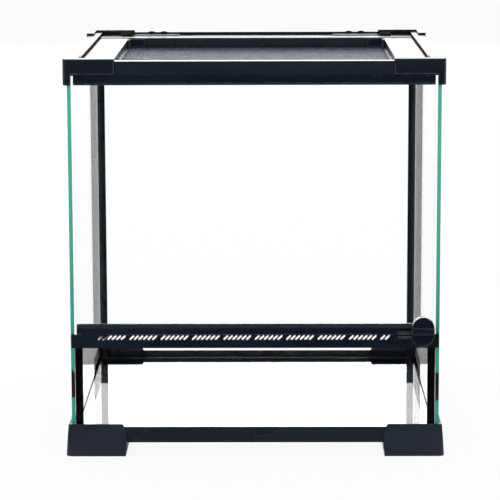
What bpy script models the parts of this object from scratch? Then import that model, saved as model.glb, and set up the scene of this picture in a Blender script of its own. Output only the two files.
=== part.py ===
"""Front-opening glass terrarium on corner feet.

A glass tank in a black plastic base frame and top frame, with a slotted vent
strip, a single glass door hung on two pins, a cam lock, and a lift-out lid
with a metal screen.  Metres, +Z up, front towards -Y, origin on the ground
at the middle of the footprint.
"""

import math

import bmesh
import bpy
from mathutils import Matrix, Vector

# Clearance between pieces that touch
GAP = 0.0003

# Tank panes
TANK_W = 0.300
TANK_D = 0.300
GLASS_T = 0.003
PANE_H = 0.3035
FRONT_PANE_H = 0.0787
GLASS_EDGE = 0.0003

# Base frame and feet
BASE_Z = 0.0109
BASE_WALL_H = 0.0130
BASE_WALL_T = 0.0012
BASE_FLANGE_T = 0.0040
BASE_FLANGE_IN = 0.0090
CORNER_TRIM = 0.0030
FOOT_H = 0.0265
FOOT_OUT_TOP = 0.0026
FOOT_OUT_BOTTOM = 0.0048
FOOT_IN_TOP = 0.0417
FOOT_IN_SHOULDER = 0.0434
FOOT_IN_WAIST = 0.0448
FOOT_IN_BULGE = 0.0450
FOOT_IN_SOLE = 0.0441
FOOT_SHOULDER_Z = 0.0232
FOOT_WAIST_Z = 0.0120
FOOT_BULGE_Z = 0.0058
FOOT_SOLE_H = 0.0040
FOOT_CORNER_R = 0.0050
FOOT_BEVEL = 0.0007

# Top frame
TOP_H = 0.0116
TOP_CAP_T = 0.0045
TOP_WALL_T = 0.0016
LIP_IN = 0.0084
GRIP_T = 0.0015
LEDGE_REACH = 0.0046
LEDGE_T = 0.0020
LEDGE_DROP = 0.0048

# Top corner caps
CAP_L = 0.0380
CAP_OUT = 0.0035
CAP_TOP_T = 0.0016
CAP_SKIRT_H = 0.0124
CAP_LEG_W = 0.0032
CAP_LEG_H = 0.0087
CAP_REAR_LIP_IN = 0.0010
CAP_SIDE_LIP_IN = 0.0030
CAP_CORNER_R = 0.0050
CAP_BEVEL = 0.0010

# Rear cable strip of the top frame
STRIP_DEPTH = 0.0355
STRIP_PLATE_T = 0.0022
STRIP_RECESS = 0.0025
INLET_W = 0.0270
INLET_INSET = 0.0565
INLET_DEPTH = 0.0098
INLET_SILL_T = 0.0010
INLET_SKIRT_H = 0.0020

# Cable closers
CLOSER_L = 0.0407
CLOSER_W = 0.0137
CLOSER_T = 0.0008
CLOSER_NOSE_T = 0.0002
CLOSER_NOSE_L = 0.0020
CLOSER_WALL_T = 0.0020
CLOSER_WALL_H = 0.0024
CLOSER_CLEAR = 0.0010
CLOSER_TRAVEL = 0.0300
KEY_L = 0.0060
KEY_W = 0.0018
KEY_INSET = 0.0010
BUMP_L = 0.0070
BUMP_SPACING = 0.0112
BUMP_RISE = 0.0009

# Round buttons by the rear corners
BUTTON_CLEAR = 0.0016
BUTTON_INSET_Y = 0.0120
BUTTON_R = 0.0055
BUTTON_T = 0.0012
BUTTON_GRIP_W = 0.0022
BUTTON_GRIP_H = 0.0012
BUTTON_STEM_R = 0.0026

# Lid and its screen
LID_CLEAR = 0.0009
LID_REAR_CLEAR = 0.0006
LID_RIM_W = 0.0251
LID_RIM_T = 0.0016
LID_WALL_T = 0.0018
LID_WALL_H = 0.0062
LID_REAR_T = 0.0013
LID_CLIP_L = 0.0143
LID_CLIP_T = 0.0012
LID_CLIP_DROP = 0.0004
SCREEN_T = 0.0008
SCREEN_CELLS = 15
SCREEN_BAR = 0.0018
SCREEN_EDGE = 0.0040

# Vent strip over the front pane
VENT_PROUD = 0.0030
VENT_WALL_T = 0.0027
VENT_END_INSET = 0.0006
VENT_GRIP = 0.0041
VENT_WEB_T = 0.0016
VENT_FENCE_H = 0.0054
VENT_BACK_T = 0.0017
SLOT_GROUPS = 10
SLOTS_PER_GROUP = 6
SLOTS_BY_LOCK = 2
SLOT_FIELD_SHIFT = -0.0016
SLOT_GROUP_PITCH = 0.0255
SLOT_PITCH = 0.0037
SLOT_W = 0.0016
SLOT_RUN = 0.0027
SLOT_RISE = 0.0025
SLOT_ABOVE_WEB = 0.0029

# Door
DOOR_SIDE_CLEAR = 0.0021
DOOR_LOW_CLEAR = 0.0004
DOOR_BOTTOM_H = 0.0073
DOOR_TOP_H = 0.0074
DOOR_PROFILE_BACK = 0.0021
DOOR_GROOVE_FLOOR = 0.0022
DOOR_CHAMFER = 0.0024
DOOR_END_BLOCK = 0.0127
DOOR_NOTCH_H = 0.0043
PIN_INSET = 0.0056
PIN_R = 0.0012
PIN_REACH = 0.0040
PIN_BOSS_HALF = 0.0040

# Lock
LOCK_INSET = 0.0088
LOCK_RISE = 0.0004
LOCK_HALF_W = 0.00905
LOCK_STRAIGHT = 0.0050
LOCK_KNOB_T = 0.0081
LOCK_KNOB_BEVEL = 0.0005
LOCK_BAR_H = 0.0054
LOCK_BAR_T = 0.0025
LOCK_SPINDLE_R = 0.0022
LOCK_TIP_R = 0.0013
LOCK_PLATE_T = 0.0018
LOCK_PLATE_R = 0.0096
LOCK_ARM_REACH = 0.0230
LOCK_ARM_H = 0.0062
LOCK_RIDGE_H = 0.0009
LOCK_RIDGE_RISE = 0.0005
LOCK_CAM_T = 0.0020
LOCK_CAM_L = 0.0115
LOCK_CAM_W = 0.0060

# Silicone beads
BEAD_REAR = 0.0063
BEAD_FRONT = 0.0061

# Levels and places that follow from the sizes above
PANE_Z = BASE_Z + BASE_FLANGE_T + GAP
PANE_TOP = PANE_Z + PANE_H
FLOOR_TOP = PANE_Z + GLASS_T
FRONT_PANE_TOP = PANE_Z + FRONT_PANE_H
CHANNEL_Z = PANE_TOP + GAP
TOP_Z = CHANNEL_Z + TOP_CAP_T
TOP_SKIRT_Z = TOP_Z - TOP_H
STRIP_Z = TOP_Z - STRIP_RECESS
LEDGE_Z = TOP_Z - LEDGE_DROP
LID_Z = LEDGE_Z + GAP
VENT_Z = FRONT_PANE_TOP + GAP - VENT_GRIP
VENT_WEB_Z = FRONT_PANE_TOP + GAP + VENT_WEB_T
VENT_TOP = VENT_WEB_Z + VENT_FENCE_H
DOOR_Z = VENT_TOP + DOOR_LOW_CLEAR
DOOR_TOP = TOP_SKIRT_Z - GAP
LOCK_STANDOFF = LOCK_RIDGE_RISE + GAP
FRONT_REACH = VENT_PROUD + GAP + LOCK_PLATE_T + LOCK_STANDOFF + LOCK_KNOB_T + LOCK_BAR_T
MIDDLE_Y = (FRONT_REACH - FOOT_OUT_BOTTOM) / 2.0
FRONT_Y = MIDDLE_Y - TANK_D / 2.0
BACK_Y = MIDDLE_Y + TANK_D / 2.0
VENT_FRONT_Y = FRONT_Y - VENT_PROUD
PIN_Y = FRONT_Y + GLASS_T / 2.0
DOOR_HALF_W = TANK_W / 2.0 - GLASS_T - DOOR_SIDE_CLEAR
PIN_X = PIN_INSET - DOOR_HALF_W
DOOR_BACK_Y = FRONT_Y + GLASS_T + DOOR_PROFILE_BACK
LOCK_X = DOOR_HALF_W - LOCK_INSET
LOCK_Z = DOOR_Z + DOOR_BOTTOM_H / 2.0 + LOCK_RISE
LID_HALF_W = TANK_W / 2.0 - LIP_IN - LID_CLEAR
LID_FRONT_Y = FRONT_Y + LIP_IN + LID_CLEAR
STRIP_FRONT_Y = BACK_Y - STRIP_DEPTH
LID_REAR_Y = STRIP_FRONT_Y - LID_REAR_CLEAR
INLET_X = TANK_W / 2.0 - INLET_INSET
INLET_FRONT_Y = BACK_Y - INLET_DEPTH
CLOSER_X = TANK_W / 2.0 - CAP_L - CLOSER_CLEAR - CLOSER_L / 2.0
CLOSER_BACK_Y = BACK_Y - GAP
CLOSER_FRONT_Y = CLOSER_BACK_Y - CLOSER_W
BUTTON_X = CLOSER_X + CLOSER_L / 2.0 + BUTTON_CLEAR + BUTTON_R
BUTTON_Y = BACK_Y - BUTTON_INSET_Y


# Scene set-up

def clear_scene():
    """Remove whatever the open file holds."""
    for obj in list(bpy.data.objects):
        bpy.data.objects.remove(obj, do_unlink=True)
    for coll in list(bpy.data.collections):
        bpy.data.collections.remove(coll)


def new_collection(name):
    """Make a collection and link it to the scene."""
    coll = bpy.data.collections.new(name)
    bpy.context.scene.collection.children.link(coll)
    return coll


def make_material(name, color, roughness, metallic=0.0, transmission=0.0):
    """Make a Principled material."""
    mat = bpy.data.materials.new(name)
    mat.use_nodes = True
    shader = mat.node_tree.nodes["Principled BSDF"]
    shader.inputs["Base Color"].default_value = (*color, 1.0)
    shader.inputs["Roughness"].default_value = roughness
    shader.inputs["Metallic"].default_value = metallic
    shader.inputs["Transmission Weight"].default_value = transmission
    mat.diffuse_color = (*color, 1.0)
    return mat


# Modelling helpers

def link(name, mesh, coll, mat=None):
    """Wrap a mesh in an object of one collection."""
    obj = bpy.data.objects.new(name, mesh)
    coll.objects.link(obj)
    if mat is not None:
        mesh.materials.clear()
        mesh.materials.append(mat)
    if coll.name == "cutters":
        obj.hide_render = True
        obj.display_type = "WIRE"
    return obj


def box(name, low, high, coll, mat=None):
    """Make a box between two corners, with its origin at its middle."""
    low = Vector(low)
    high = Vector(high)
    bm = bmesh.new()
    bmesh.ops.create_cube(bm, size=1.0)
    bmesh.ops.scale(bm, vec=high - low, verts=bm.verts)
    mesh = bpy.data.meshes.new(name)
    bm.to_mesh(mesh)
    bm.free()
    obj = link(name, mesh, coll, mat)
    obj.location = (low + high) / 2.0
    return obj


def cylinder(name, radius, depth, coll, mat=None, segments=24):
    """Make a capped cylinder along Z, with its origin at its middle."""
    bm = bmesh.new()
    bmesh.ops.create_cone(
        bm, cap_ends=True, segments=segments, radius1=radius, radius2=radius, depth=depth
    )
    mesh = bpy.data.meshes.new(name)
    bm.to_mesh(mesh)
    bm.free()
    obj = link(name, mesh, coll, mat)
    shade_round(obj)
    return obj


def shade_round(obj):
    """Shade smooth across shallow angles."""
    obj.data.shade_smooth()
    obj.data.set_sharp_from_angle(angle=math.radians(35.0))


def prism(name, outlines, depth, coll, mat=None):
    """Extrude flat closed outlines, centred on the plane they lie in."""
    curve = bpy.data.curves.new(name, "CURVE")
    curve.dimensions = "2D"
    curve.fill_mode = "BOTH"
    curve.extrude = depth / 2.0
    for outline in outlines:
        spline = curve.splines.new("POLY")
        spline.points.add(len(outline) - 1)
        for point, (x, y) in zip(spline.points, outline):
            point.co = (x, y, 0.0, 1.0)
        spline.use_cyclic_u = True
    source = bpy.data.objects.new(name + "_outline", curve)
    bpy.context.scene.collection.objects.link(source)
    evaluated = source.evaluated_get(bpy.context.evaluated_depsgraph_get())
    mesh = bpy.data.meshes.new_from_object(evaluated)
    bpy.data.objects.remove(source, do_unlink=True)
    bpy.data.curves.remove(curve)
    weld(mesh)
    mesh.name = name
    return link(name, mesh, coll, mat)


def weld(mesh):
    """Close a mesh at its shared corners and turn its faces out."""
    bm = bmesh.new()
    bm.from_mesh(mesh)
    bmesh.ops.remove_doubles(bm, verts=bm.verts, dist=0.000002)
    bmesh.ops.recalc_face_normals(bm, faces=bm.faces)
    bm.to_mesh(mesh)
    bm.free()


def trim(obj, point, normal):
    """Cut an object's mesh with a plane and close the cut."""
    bm = bmesh.new()
    bm.from_mesh(obj.data)
    geometry = bm.verts[:] + bm.edges[:] + bm.faces[:]
    bmesh.ops.bisect_plane(
        bm, geom=geometry, dist=0.000001, plane_co=point, plane_no=normal, clear_outer=True
    )
    rim = [edge for edge in bm.edges if edge.is_boundary]
    bmesh.ops.holes_fill(bm, edges=rim, sides=0)
    bmesh.ops.recalc_face_normals(bm, faces=bm.faces)
    bm.to_mesh(obj.data)
    bm.free()


def combine(obj, other, operation):
    """Add an exact Boolean modifier and file the other body as a cutter."""
    mod = obj.modifiers.new(operation.lower(), "BOOLEAN")
    mod.operation = operation
    mod.solver = "EXACT"
    mod.object = other
    return obj


def bevel(obj, width, segments=2, angle=50.0):
    """Round the sharp edges."""
    mod = obj.modifiers.new("bevel", "BEVEL")
    mod.width = width
    mod.segments = segments
    mod.limit_method = "ANGLE"
    mod.angle_limit = math.radians(angle)
    return obj


def flat_faces(obj):
    """Split bevelled faces into flat triangles before a body is cut."""
    obj.modifiers.new("flat_faces", "TRIANGULATE")
    return obj


def arc(cx, cy, radius, start, end, steps):
    """Points on a circular arc, angles in degrees, both ends included."""
    points = []
    for index in range(steps + 1):
        angle = math.radians(start + (end - start) * index / steps)
        points.append((cx + radius * math.cos(angle), cy + radius * math.sin(angle)))
    return points


def stadium(cx, cy, dx, dy, width, steps):
    """Outline of a slot of one width round a straight centre line."""
    angle = math.degrees(math.atan2(dy, dx))
    half = (dx / 2.0, dy / 2.0)
    head = arc(cx + half[0], cy + half[1], width / 2.0, angle - 90.0, angle + 90.0, steps)
    tail = arc(cx - half[0], cy - half[1], width / 2.0, angle + 90.0, angle + 270.0, steps)
    return head + tail


def rectangle(x0, y0, x1, y1):
    """Outline of a rectangle."""
    return [(x0, y0), (x1, y0), (x1, y1), (x0, y1)]


def along_x(obj, x=0.0):
    """Turn a prism so that its outline lies in (Y, Z) and it runs along X."""
    obj.rotation_euler = (math.pi / 2.0, 0.0, math.pi / 2.0)
    obj.location.x = x
    return obj


def along_y(obj, y=0.0):
    """Turn a prism so that its outline lies in (X, Z) and it runs along Y."""
    obj.rotation_euler = (math.pi / 2.0, 0.0, 0.0)
    obj.location.y = y
    return obj


# Tank

def build_panes(parts, glass):
    """Sides, back, floor and the low front pane."""
    half = TANK_W / 2.0
    inner = half - GLASS_T
    width = inner - GAP
    front_in = FRONT_Y + GLASS_T
    back_in = BACK_Y - GLASS_T
    panes = [
        ("glass_left", (-half, FRONT_Y, PANE_Z), (-inner, BACK_Y, PANE_TOP)),
        ("glass_right", (inner, FRONT_Y, PANE_Z), (half, BACK_Y, PANE_TOP)),
        ("glass_back", (-width, back_in, PANE_Z), (width, BACK_Y, PANE_TOP)),
        ("glass_floor", (-width, front_in + GAP, PANE_Z), (width, back_in - GAP, FLOOR_TOP)),
        ("glass_front_lower", (-width, FRONT_Y, PANE_Z), (width, front_in, FRONT_PANE_TOP)),
    ]
    for name, low, high in panes:
        bevel(box(name, low, high, parts, glass), GLASS_EDGE, 1)


def build_beads(parts, silicone):
    """Silicone fillets in the four upright inside corners."""
    low = FLOOR_TOP + GAP
    beads = [
        ("silicone_rear_left", -1, 1, BEAD_REAR, TOP_SKIRT_Z - GAP),
        ("silicone_rear_right", 1, 1, BEAD_REAR, TOP_SKIRT_Z - GAP),
        ("silicone_front_left", -1, -1, BEAD_FRONT, VENT_Z - GAP),
        ("silicone_front_right", 1, -1, BEAD_FRONT, VENT_Z - GAP),
    ]
    corner_x = TANK_W / 2.0 - GLASS_T - GAP
    corner_y = TANK_D / 2.0 - GLASS_T - GAP
    for name, side, end, leg, top in beads:
        hollow = arc(-leg * 1.15, -leg * 1.15, leg * 1.159, 7.5, 82.5, 4)
        outline = [(0.0, 0.0), (0.0, -leg)] + hollow + [(-leg, 0.0)]
        outline = [(side * x, end * y) for x, y in outline]
        bead = prism(name, [outline], top - low, parts, silicone)
        bead.location = (side * corner_x, MIDDLE_Y + end * corner_y, (low + top) / 2.0)


# Base frame

def base_profile():
    """Base rail section: distance in from the glass face, and height."""
    outer = -GAP - BASE_WALL_T
    flange_top = BASE_Z + BASE_FLANGE_T
    return [
        (outer, BASE_Z),
        (BASE_FLANGE_IN, BASE_Z),
        (BASE_FLANGE_IN, flange_top),
        (-GAP, flange_top),
        (-GAP, BASE_Z + BASE_WALL_H),
        (outer, BASE_Z + BASE_WALL_H),
    ]


def mitred_rail(name, profile, length, outer, mitre_ends, parts, mat):
    """A rail of one section; each mitred end meets its neighbour at 45 degrees."""
    rail = prism(name, [profile], length + 4.0 * outer, parts, mat)
    reach = length / 2.0 - GAP * 0.75
    for end in mitre_ends:
        trim(rail, (0.0, 0.0, end * reach), (1.0, 0.0, end))
        corner = length / 2.0 + 2.0 * outer - CORNER_TRIM
        trim(rail, (0.0, 0.0, end * corner), (-1.0, 0.0, end))
    return rail


def place_rail(rail, side):
    """Stand a rail on one side of the tank, its section facing in."""
    turns = {
        "front": (0.0, 0.0, FRONT_Y),
        "right": (math.pi / 2.0, TANK_W / 2.0, MIDDLE_Y),
        "rear": (math.pi, 0.0, BACK_Y),
        "left": (-math.pi / 2.0, -TANK_W / 2.0, MIDDLE_Y),
    }
    angle, x, y = turns[side]
    upright = Matrix.Rotation(math.pi / 2.0, 4, "Z") @ Matrix.Rotation(math.pi / 2.0, 4, "X")
    turn = Matrix.Rotation(angle, 4, "Z") @ upright
    rail.matrix_world = Matrix.Translation((x, y, 0.0)) @ turn


def build_base(parts, plastic):
    """Four base rails mitred inside the feet."""
    outer = GAP + BASE_WALL_T
    for side in ("front", "rear", "left", "right"):
        length = TANK_W if side in ("front", "rear") else TANK_D
        name = "base_rail_" + side
        rail = mitred_rail(name, base_profile(), length, outer, (-1, 1), parts, plastic)
        place_rail(rail, side)


def foot_outline():
    """Side view of a foot: distance in from the glass corner, and height."""
    return [
        (-FOOT_OUT_BOTTOM, 0.0),
        (FOOT_IN_SOLE, 0.0),
        (FOOT_IN_SOLE, FOOT_SOLE_H),
        (FOOT_IN_BULGE, FOOT_BULGE_Z),
        (FOOT_IN_WAIST, FOOT_WAIST_Z),
        (FOOT_IN_SHOULDER, FOOT_SHOULDER_Z),
        (FOOT_IN_TOP, FOOT_H),
        (-FOOT_OUT_TOP, FOOT_H),
    ]


def corner_plan(outer, reach, radius):
    """Square plan with a rounded outer corner at its low-low side."""
    round_corner = arc(-outer + radius, -outer + radius, radius, 180.0, 270.0, 5)
    return round_corner + [(reach, -outer), (reach, reach), (-outer, reach)]


CORNERS = {
    "front_left": (0.0, -1, -1),
    "front_right": (math.pi / 2.0, 1, -1),
    "rear_right": (math.pi, 1, 1),
    "rear_left": (-math.pi / 2.0, -1, 1),
}


def at_corner(obj, corner):
    """Move a corner piece's shape from the origin to one corner of the tank."""
    bpy.context.view_layer.update()
    angle, side, end = CORNERS[corner]
    corner_y = MIDDLE_Y + end * TANK_D / 2.0
    place = Matrix.Translation((side * TANK_W / 2.0, corner_y, 0.0))
    obj.matrix_world = place @ Matrix.Rotation(angle, 4, "Z") @ obj.matrix_world
    return obj


def build_foot(corner, parts, cutters, plastic):
    """A drafted corner shoe that holds the corner of the base frame."""
    name = "foot_" + corner
    reach = FOOT_IN_BULGE + 0.001
    span = FOOT_OUT_BOTTOM + reach
    middle = (reach - FOOT_OUT_BOTTOM) / 2.0
    foot = prism(name, [foot_outline()], span, parts, plastic)
    foot.matrix_world = Matrix.Translation((0.0, middle, 0.0)) @ Matrix.Rotation(
        math.pi / 2.0, 4, "X"
    )
    side = prism(name + "_side", [foot_outline()], span, cutters)
    upright = Matrix.Rotation(math.pi / 2.0, 4, "Z") @ Matrix.Rotation(math.pi / 2.0, 4, "X")
    side.matrix_world = Matrix.Translation((middle, 0.0, 0.0)) @ upright
    plan_outline = corner_plan(FOOT_OUT_BOTTOM, reach, FOOT_CORNER_R)
    plan = prism(name + "_plan", [plan_outline], 3.0 * FOOT_H, cutters)
    pocket_in = -2.0 * GAP - BASE_WALL_T
    pocket_z = BASE_Z - GAP
    round_in = FOOT_CORNER_R - (FOOT_OUT_TOP + pocket_in)
    pocket_plan = corner_plan(-pocket_in, 2.0 * reach, round_in)
    pocket = prism(name + "_pocket", [pocket_plan], FOOT_H, cutters)
    pocket.location.z = pocket_z + FOOT_H / 2.0
    for tool in (side, plan, pocket):
        at_corner(tool, corner)
    at_corner(foot, corner)
    combine(foot, side, "INTERSECT")
    combine(foot, plan, "INTERSECT")
    bevel(foot, FOOT_BEVEL, 2, 30.0)
    combine(foot, pocket, "DIFFERENCE")


# Top frame

def top_profile():
    """Top rail section: distance in from the glass face, and height."""
    outer = -GAP - TOP_WALL_T
    grip = GLASS_T + GAP
    return [
        (outer, TOP_SKIRT_Z),
        (-GAP, TOP_SKIRT_Z),
        (-GAP, CHANNEL_Z),
        (grip, CHANNEL_Z),
        (grip, TOP_SKIRT_Z),
        (grip + GRIP_T, TOP_SKIRT_Z),
        (grip + GRIP_T, LEDGE_Z - LEDGE_T),
        (LIP_IN + LEDGE_REACH, LEDGE_Z - LEDGE_T),
        (LIP_IN + LEDGE_REACH, LEDGE_Z),
        (LIP_IN, LEDGE_Z),
        (LIP_IN, TOP_Z),
        (outer, TOP_Z),
    ]


def build_top_rails(parts, cutters, plastic):
    """Front and side rails: mitred in front, square at the back pane."""
    outer = GAP + TOP_WALL_T
    front = mitred_rail(
        "top_rail_front", top_profile(), TANK_W, outer, (-1, 1), parts, plastic
    )
    place_rail(front, "front")
    boss = box(
        "pin_boss_top",
        (PIN_X - PIN_BOSS_HALF, FRONT_Y - 2.0 * GAP, TOP_SKIRT_Z),
        (PIN_X + PIN_BOSS_HALF, FRONT_Y + GLASS_T + 2.0 * GAP, CHANNEL_Z + GAP),
        cutters,
    )
    bore = cylinder("pin_bore_top", PIN_R + GAP, 2.0 * (PIN_REACH + GAP), cutters)
    bore.location = (PIN_X, PIN_Y, TOP_SKIRT_Z)
    combine(front, boss, "UNION")
    combine(front, bore, "DIFFERENCE")
    for side, mitre_end in (("left", 1), ("right", -1)):
        rail = mitred_rail(
            "top_rail_" + side, top_profile(), TANK_D, outer, (mitre_end,), parts, plastic
        )
        stop = TANK_D / 2.0 - GLASS_T - GAP
        trim(rail, (0.0, 0.0, -mitre_end * stop), (0.0, 0.0, -mitre_end))
        place_rail(rail, side)


def build_rear_strip(parts, cutters, plastic):
    """Wide rear rail with two cable inlets, tracks and button holes."""
    back = BACK_Y
    outer = back + GAP + TOP_WALL_T
    grip = back - GLASS_T - GAP
    low = STRIP_Z - STRIP_PLATE_T
    outline = [
        (STRIP_FRONT_Y, low - LID_WALL_H),
        (STRIP_FRONT_Y + LID_WALL_T, low - LID_WALL_H),
        (STRIP_FRONT_Y + LID_WALL_T, low),
        (grip - GRIP_T, low),
        (grip - GRIP_T, TOP_SKIRT_Z),
        (grip, TOP_SKIRT_Z),
        (grip, CHANNEL_Z),
        (back + GAP, CHANNEL_Z),
        (back + GAP, TOP_SKIRT_Z),
        (outer, TOP_SKIRT_Z),
        (outer, TOP_Z),
        (back + GAP, TOP_Z),
        (back + GAP, STRIP_Z),
        (STRIP_FRONT_Y, STRIP_Z),
    ]
    strip = prism("rear_strip", [outline], 2.0 * LID_HALF_W, parts, plastic)
    along_x(strip)
    ledge_x = TANK_W / 2.0 - LIP_IN - LEDGE_REACH - GAP
    for side in (-1, 1):
        tag = "left" if side < 0 else "right"
        rebate = box(
            "ledge_rebate_" + tag,
            (min(side * ledge_x, side * TANK_W), STRIP_FRONT_Y - GAP, 0.9 * TOP_SKIRT_Z),
            (max(side * ledge_x, side * TANK_W), grip + GAP, LEDGE_Z + GAP),
            cutters,
        )
        hole = box(
            "inlet_" + tag,
            (side * INLET_X - INLET_W / 2.0, INLET_FRONT_Y, TOP_SKIRT_Z + INLET_SKIRT_H),
            (side * INLET_X + INLET_W / 2.0, grip + GAP, TOP_Z + GAP),
            cutters,
        )
        gate = box(
            "inlet_gate_" + tag,
            (side * INLET_X - INLET_W / 2.0, grip - GRIP_T, CHANNEL_Z + INLET_SILL_T),
            (side * INLET_X + INLET_W / 2.0, outer + 0.001, TOP_Z + GAP),
            cutters,
        )
        track = track_cutter(side, tag, cutters)
        bore_len = 2.0 * (STRIP_PLATE_T + GAP)
        bore = cylinder("button_bore_" + tag, BUTTON_STEM_R + GAP, bore_len, cutters)
        bore.location = (side * BUTTON_X, BUTTON_Y, STRIP_Z)
        for tool in (rebate, hole, gate, track, bore):
            combine(strip, tool, "DIFFERENCE")


def track_cutter(side, tag, cutters):
    """Slot in the strip's plate that a closer's key runs in."""
    outer_end = CLOSER_X + KEY_L / 2.0 + GAP
    inner_end = CLOSER_X - KEY_L / 2.0 - CLOSER_TRAVEL - GAP
    front = CLOSER_FRONT_Y + KEY_INSET - GAP
    return box(
        "track_" + tag,
        (min(side * outer_end, side * inner_end), front, STRIP_Z - 0.5 * STRIP_PLATE_T - GAP),
        (
            max(side * outer_end, side * inner_end),
            front + KEY_W + 2.0 * GAP,
            STRIP_Z + STRIP_PLATE_T,
        ),
        cutters,
    )


def cap_outline(corner):
    """L-shaped plan of a corner cap; the rear caps have thin arms."""
    inner_x = LIP_IN
    inner_y = LIP_IN
    if corner == "rear_left":
        inner_x = CAP_SIDE_LIP_IN
        inner_y = CAP_REAR_LIP_IN
    if corner == "rear_right":
        inner_x = CAP_REAR_LIP_IN
        inner_y = CAP_SIDE_LIP_IN
    outer = CAP_OUT
    bend = arc(-outer + CAP_CORNER_R, -outer + CAP_CORNER_R, CAP_CORNER_R, 180.0, 270.0, 5)
    return bend + [
        (CAP_L, -outer),
        (CAP_L, inner_x),
        (inner_y, inner_x),
        (inner_y, CAP_L),
        (-outer, CAP_L),
    ]


def build_cap(corner, parts, cutters, plastic):
    """A moulded corner cap over the top rails, with a leg over the pane edge."""
    name = "cap_" + corner
    top = TOP_Z + GAP + CAP_TOP_T
    leg_z = top - CAP_SKIRT_H - CAP_LEG_H
    skirt_z = top - CAP_SKIRT_H
    cap = prism(name, [cap_outline(corner)], top - leg_z, parts, plastic)
    cap.location.z = (top + leg_z) / 2.0
    if corner.startswith("front"):
        flat_faces(bevel(cap, CAP_BEVEL, 2, 60.0))
    rail_out = 2.0 * GAP + TOP_WALL_T
    round_in = CAP_CORNER_R - (CAP_OUT - rail_out)
    reach = 2.0 * CAP_L
    upper = prism(name + "_hollow", [corner_plan(rail_out, reach, round_in)], TOP_H + GAP, cutters)
    upper.location.z = TOP_Z + GAP - (TOP_H + GAP) / 2.0
    lower_h = TOP_SKIRT_Z - GAP - leg_z + 0.002
    lower = box(
        name + "_seat",
        (-GAP, -GAP, TOP_SKIRT_Z - lower_h),
        (reach, reach, TOP_SKIRT_Z + GAP),
        cutters,
    )
    trim_x = box(
        name + "_trim_x",
        (CAP_LEG_W, -2.0 * CAP_OUT, leg_z - 0.001),
        (reach, reach, skirt_z),
        cutters,
    )
    trim_y = box(
        name + "_trim_y",
        (-2.0 * CAP_OUT, CAP_LEG_W, leg_z - 0.001),
        (reach, reach, skirt_z),
        cutters,
    )
    for tool in (upper, lower, trim_x, trim_y):
        at_corner(tool, corner)
        combine(cap, tool, "DIFFERENCE")
    at_corner(cap, corner)


# Rear strip fittings

def closer_outline(plate_z):
    """Closer section in (Y, Z): a thin plate with a sloped nose and a rear wall."""
    wall_y = CLOSER_BACK_Y - CLOSER_WALL_T
    return [
        (CLOSER_FRONT_Y, plate_z),
        (CLOSER_BACK_Y, plate_z),
        (CLOSER_BACK_Y, plate_z + CLOSER_WALL_H),
        (wall_y, plate_z + CLOSER_WALL_H),
        (wall_y, plate_z + CLOSER_T),
        (CLOSER_FRONT_Y + CLOSER_NOSE_L, plate_z + CLOSER_T),
        (CLOSER_FRONT_Y, plate_z + CLOSER_NOSE_T),
    ]


def build_closers(parts, cutters, plastic):
    """Two sliding covers for the cable inlets."""
    plate_z = STRIP_Z + GAP
    crest_r = (BUMP_L * BUMP_L / 4.0 + BUMP_RISE * BUMP_RISE) / (2.0 * BUMP_RISE)
    spread = math.degrees(math.asin(BUMP_L / 2.0 / crest_r))
    crest = arc(0.0, BUMP_RISE - crest_r, crest_r, 90.0 - spread, 90.0 + spread, 8)
    foot_z = -CLOSER_WALL_H / 2.0
    bump_outline = crest + [(-BUMP_L / 2.0, foot_z), (BUMP_L / 2.0, foot_z)]
    for side, tag in ((-1, "left"), (1, "right")):
        centre = side * CLOSER_X
        name = "cable_closer_" + tag
        closer = prism(name, [closer_outline(plate_z)], CLOSER_L, parts, plastic)
        along_x(closer, centre)
        key = box(
            "closer_key_" + tag,
            (
                centre - KEY_L / 2.0,
                CLOSER_FRONT_Y + KEY_INSET,
                STRIP_Z - 0.5 * STRIP_PLATE_T,
            ),
            (centre + KEY_L / 2.0, CLOSER_FRONT_Y + KEY_INSET + KEY_W, plate_z + CLOSER_NOSE_T),
            cutters,
        )
        combine(closer, key, "UNION")
        for index in (-0.5, 0.5):
            bump = prism("closer_bump_" + tag, [bump_outline], CLOSER_WALL_T - GAP, cutters)
            along_y(bump, CLOSER_BACK_Y - CLOSER_WALL_T / 2.0)
            bump.location.x = centre + index * BUMP_SPACING
            bump.location.z = plate_z + CLOSER_WALL_H
            combine(closer, bump, "UNION")


def build_buttons(parts, cutters, plastic):
    """Low round buttons with a finger bar, pressed into the strip."""
    for side, tag in ((-1, "left"), (1, "right")):
        seat = STRIP_Z + GAP
        button = cylinder("frame_button_" + tag, BUTTON_R, BUTTON_T, parts, plastic, 32)
        button.location = (side * BUTTON_X, BUTTON_Y, seat + BUTTON_T / 2.0)
        stem_len = STRIP_PLATE_T + 3.0 * GAP + BUTTON_T / 2.0
        stem = cylinder("button_stem_" + tag, BUTTON_STEM_R, stem_len, cutters)
        stem.location = (side * BUTTON_X, BUTTON_Y, seat + BUTTON_T / 2.0 - stem_len / 2.0)
        half = BUTTON_R * 0.8
        grip = box(
            "button_grip_" + tag,
            (
                side * BUTTON_X - half,
                BUTTON_Y - BUTTON_GRIP_W / 2.0,
                seat + BUTTON_T / 2.0,
            ),
            (
                side * BUTTON_X + half,
                BUTTON_Y + BUTTON_GRIP_W / 2.0,
                seat + BUTTON_T + BUTTON_GRIP_H,
            ),
            cutters,
        )
        combine(button, stem, "UNION")
        combine(button, grip, "UNION")


# Lid

def build_lid(parts, cutters, plastic):
    """Rim rails and corner clips."""
    build_lid_sides(parts, cutters, plastic)
    build_lid_ends(parts, plastic)
    build_lid_clips(parts, plastic)


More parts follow.
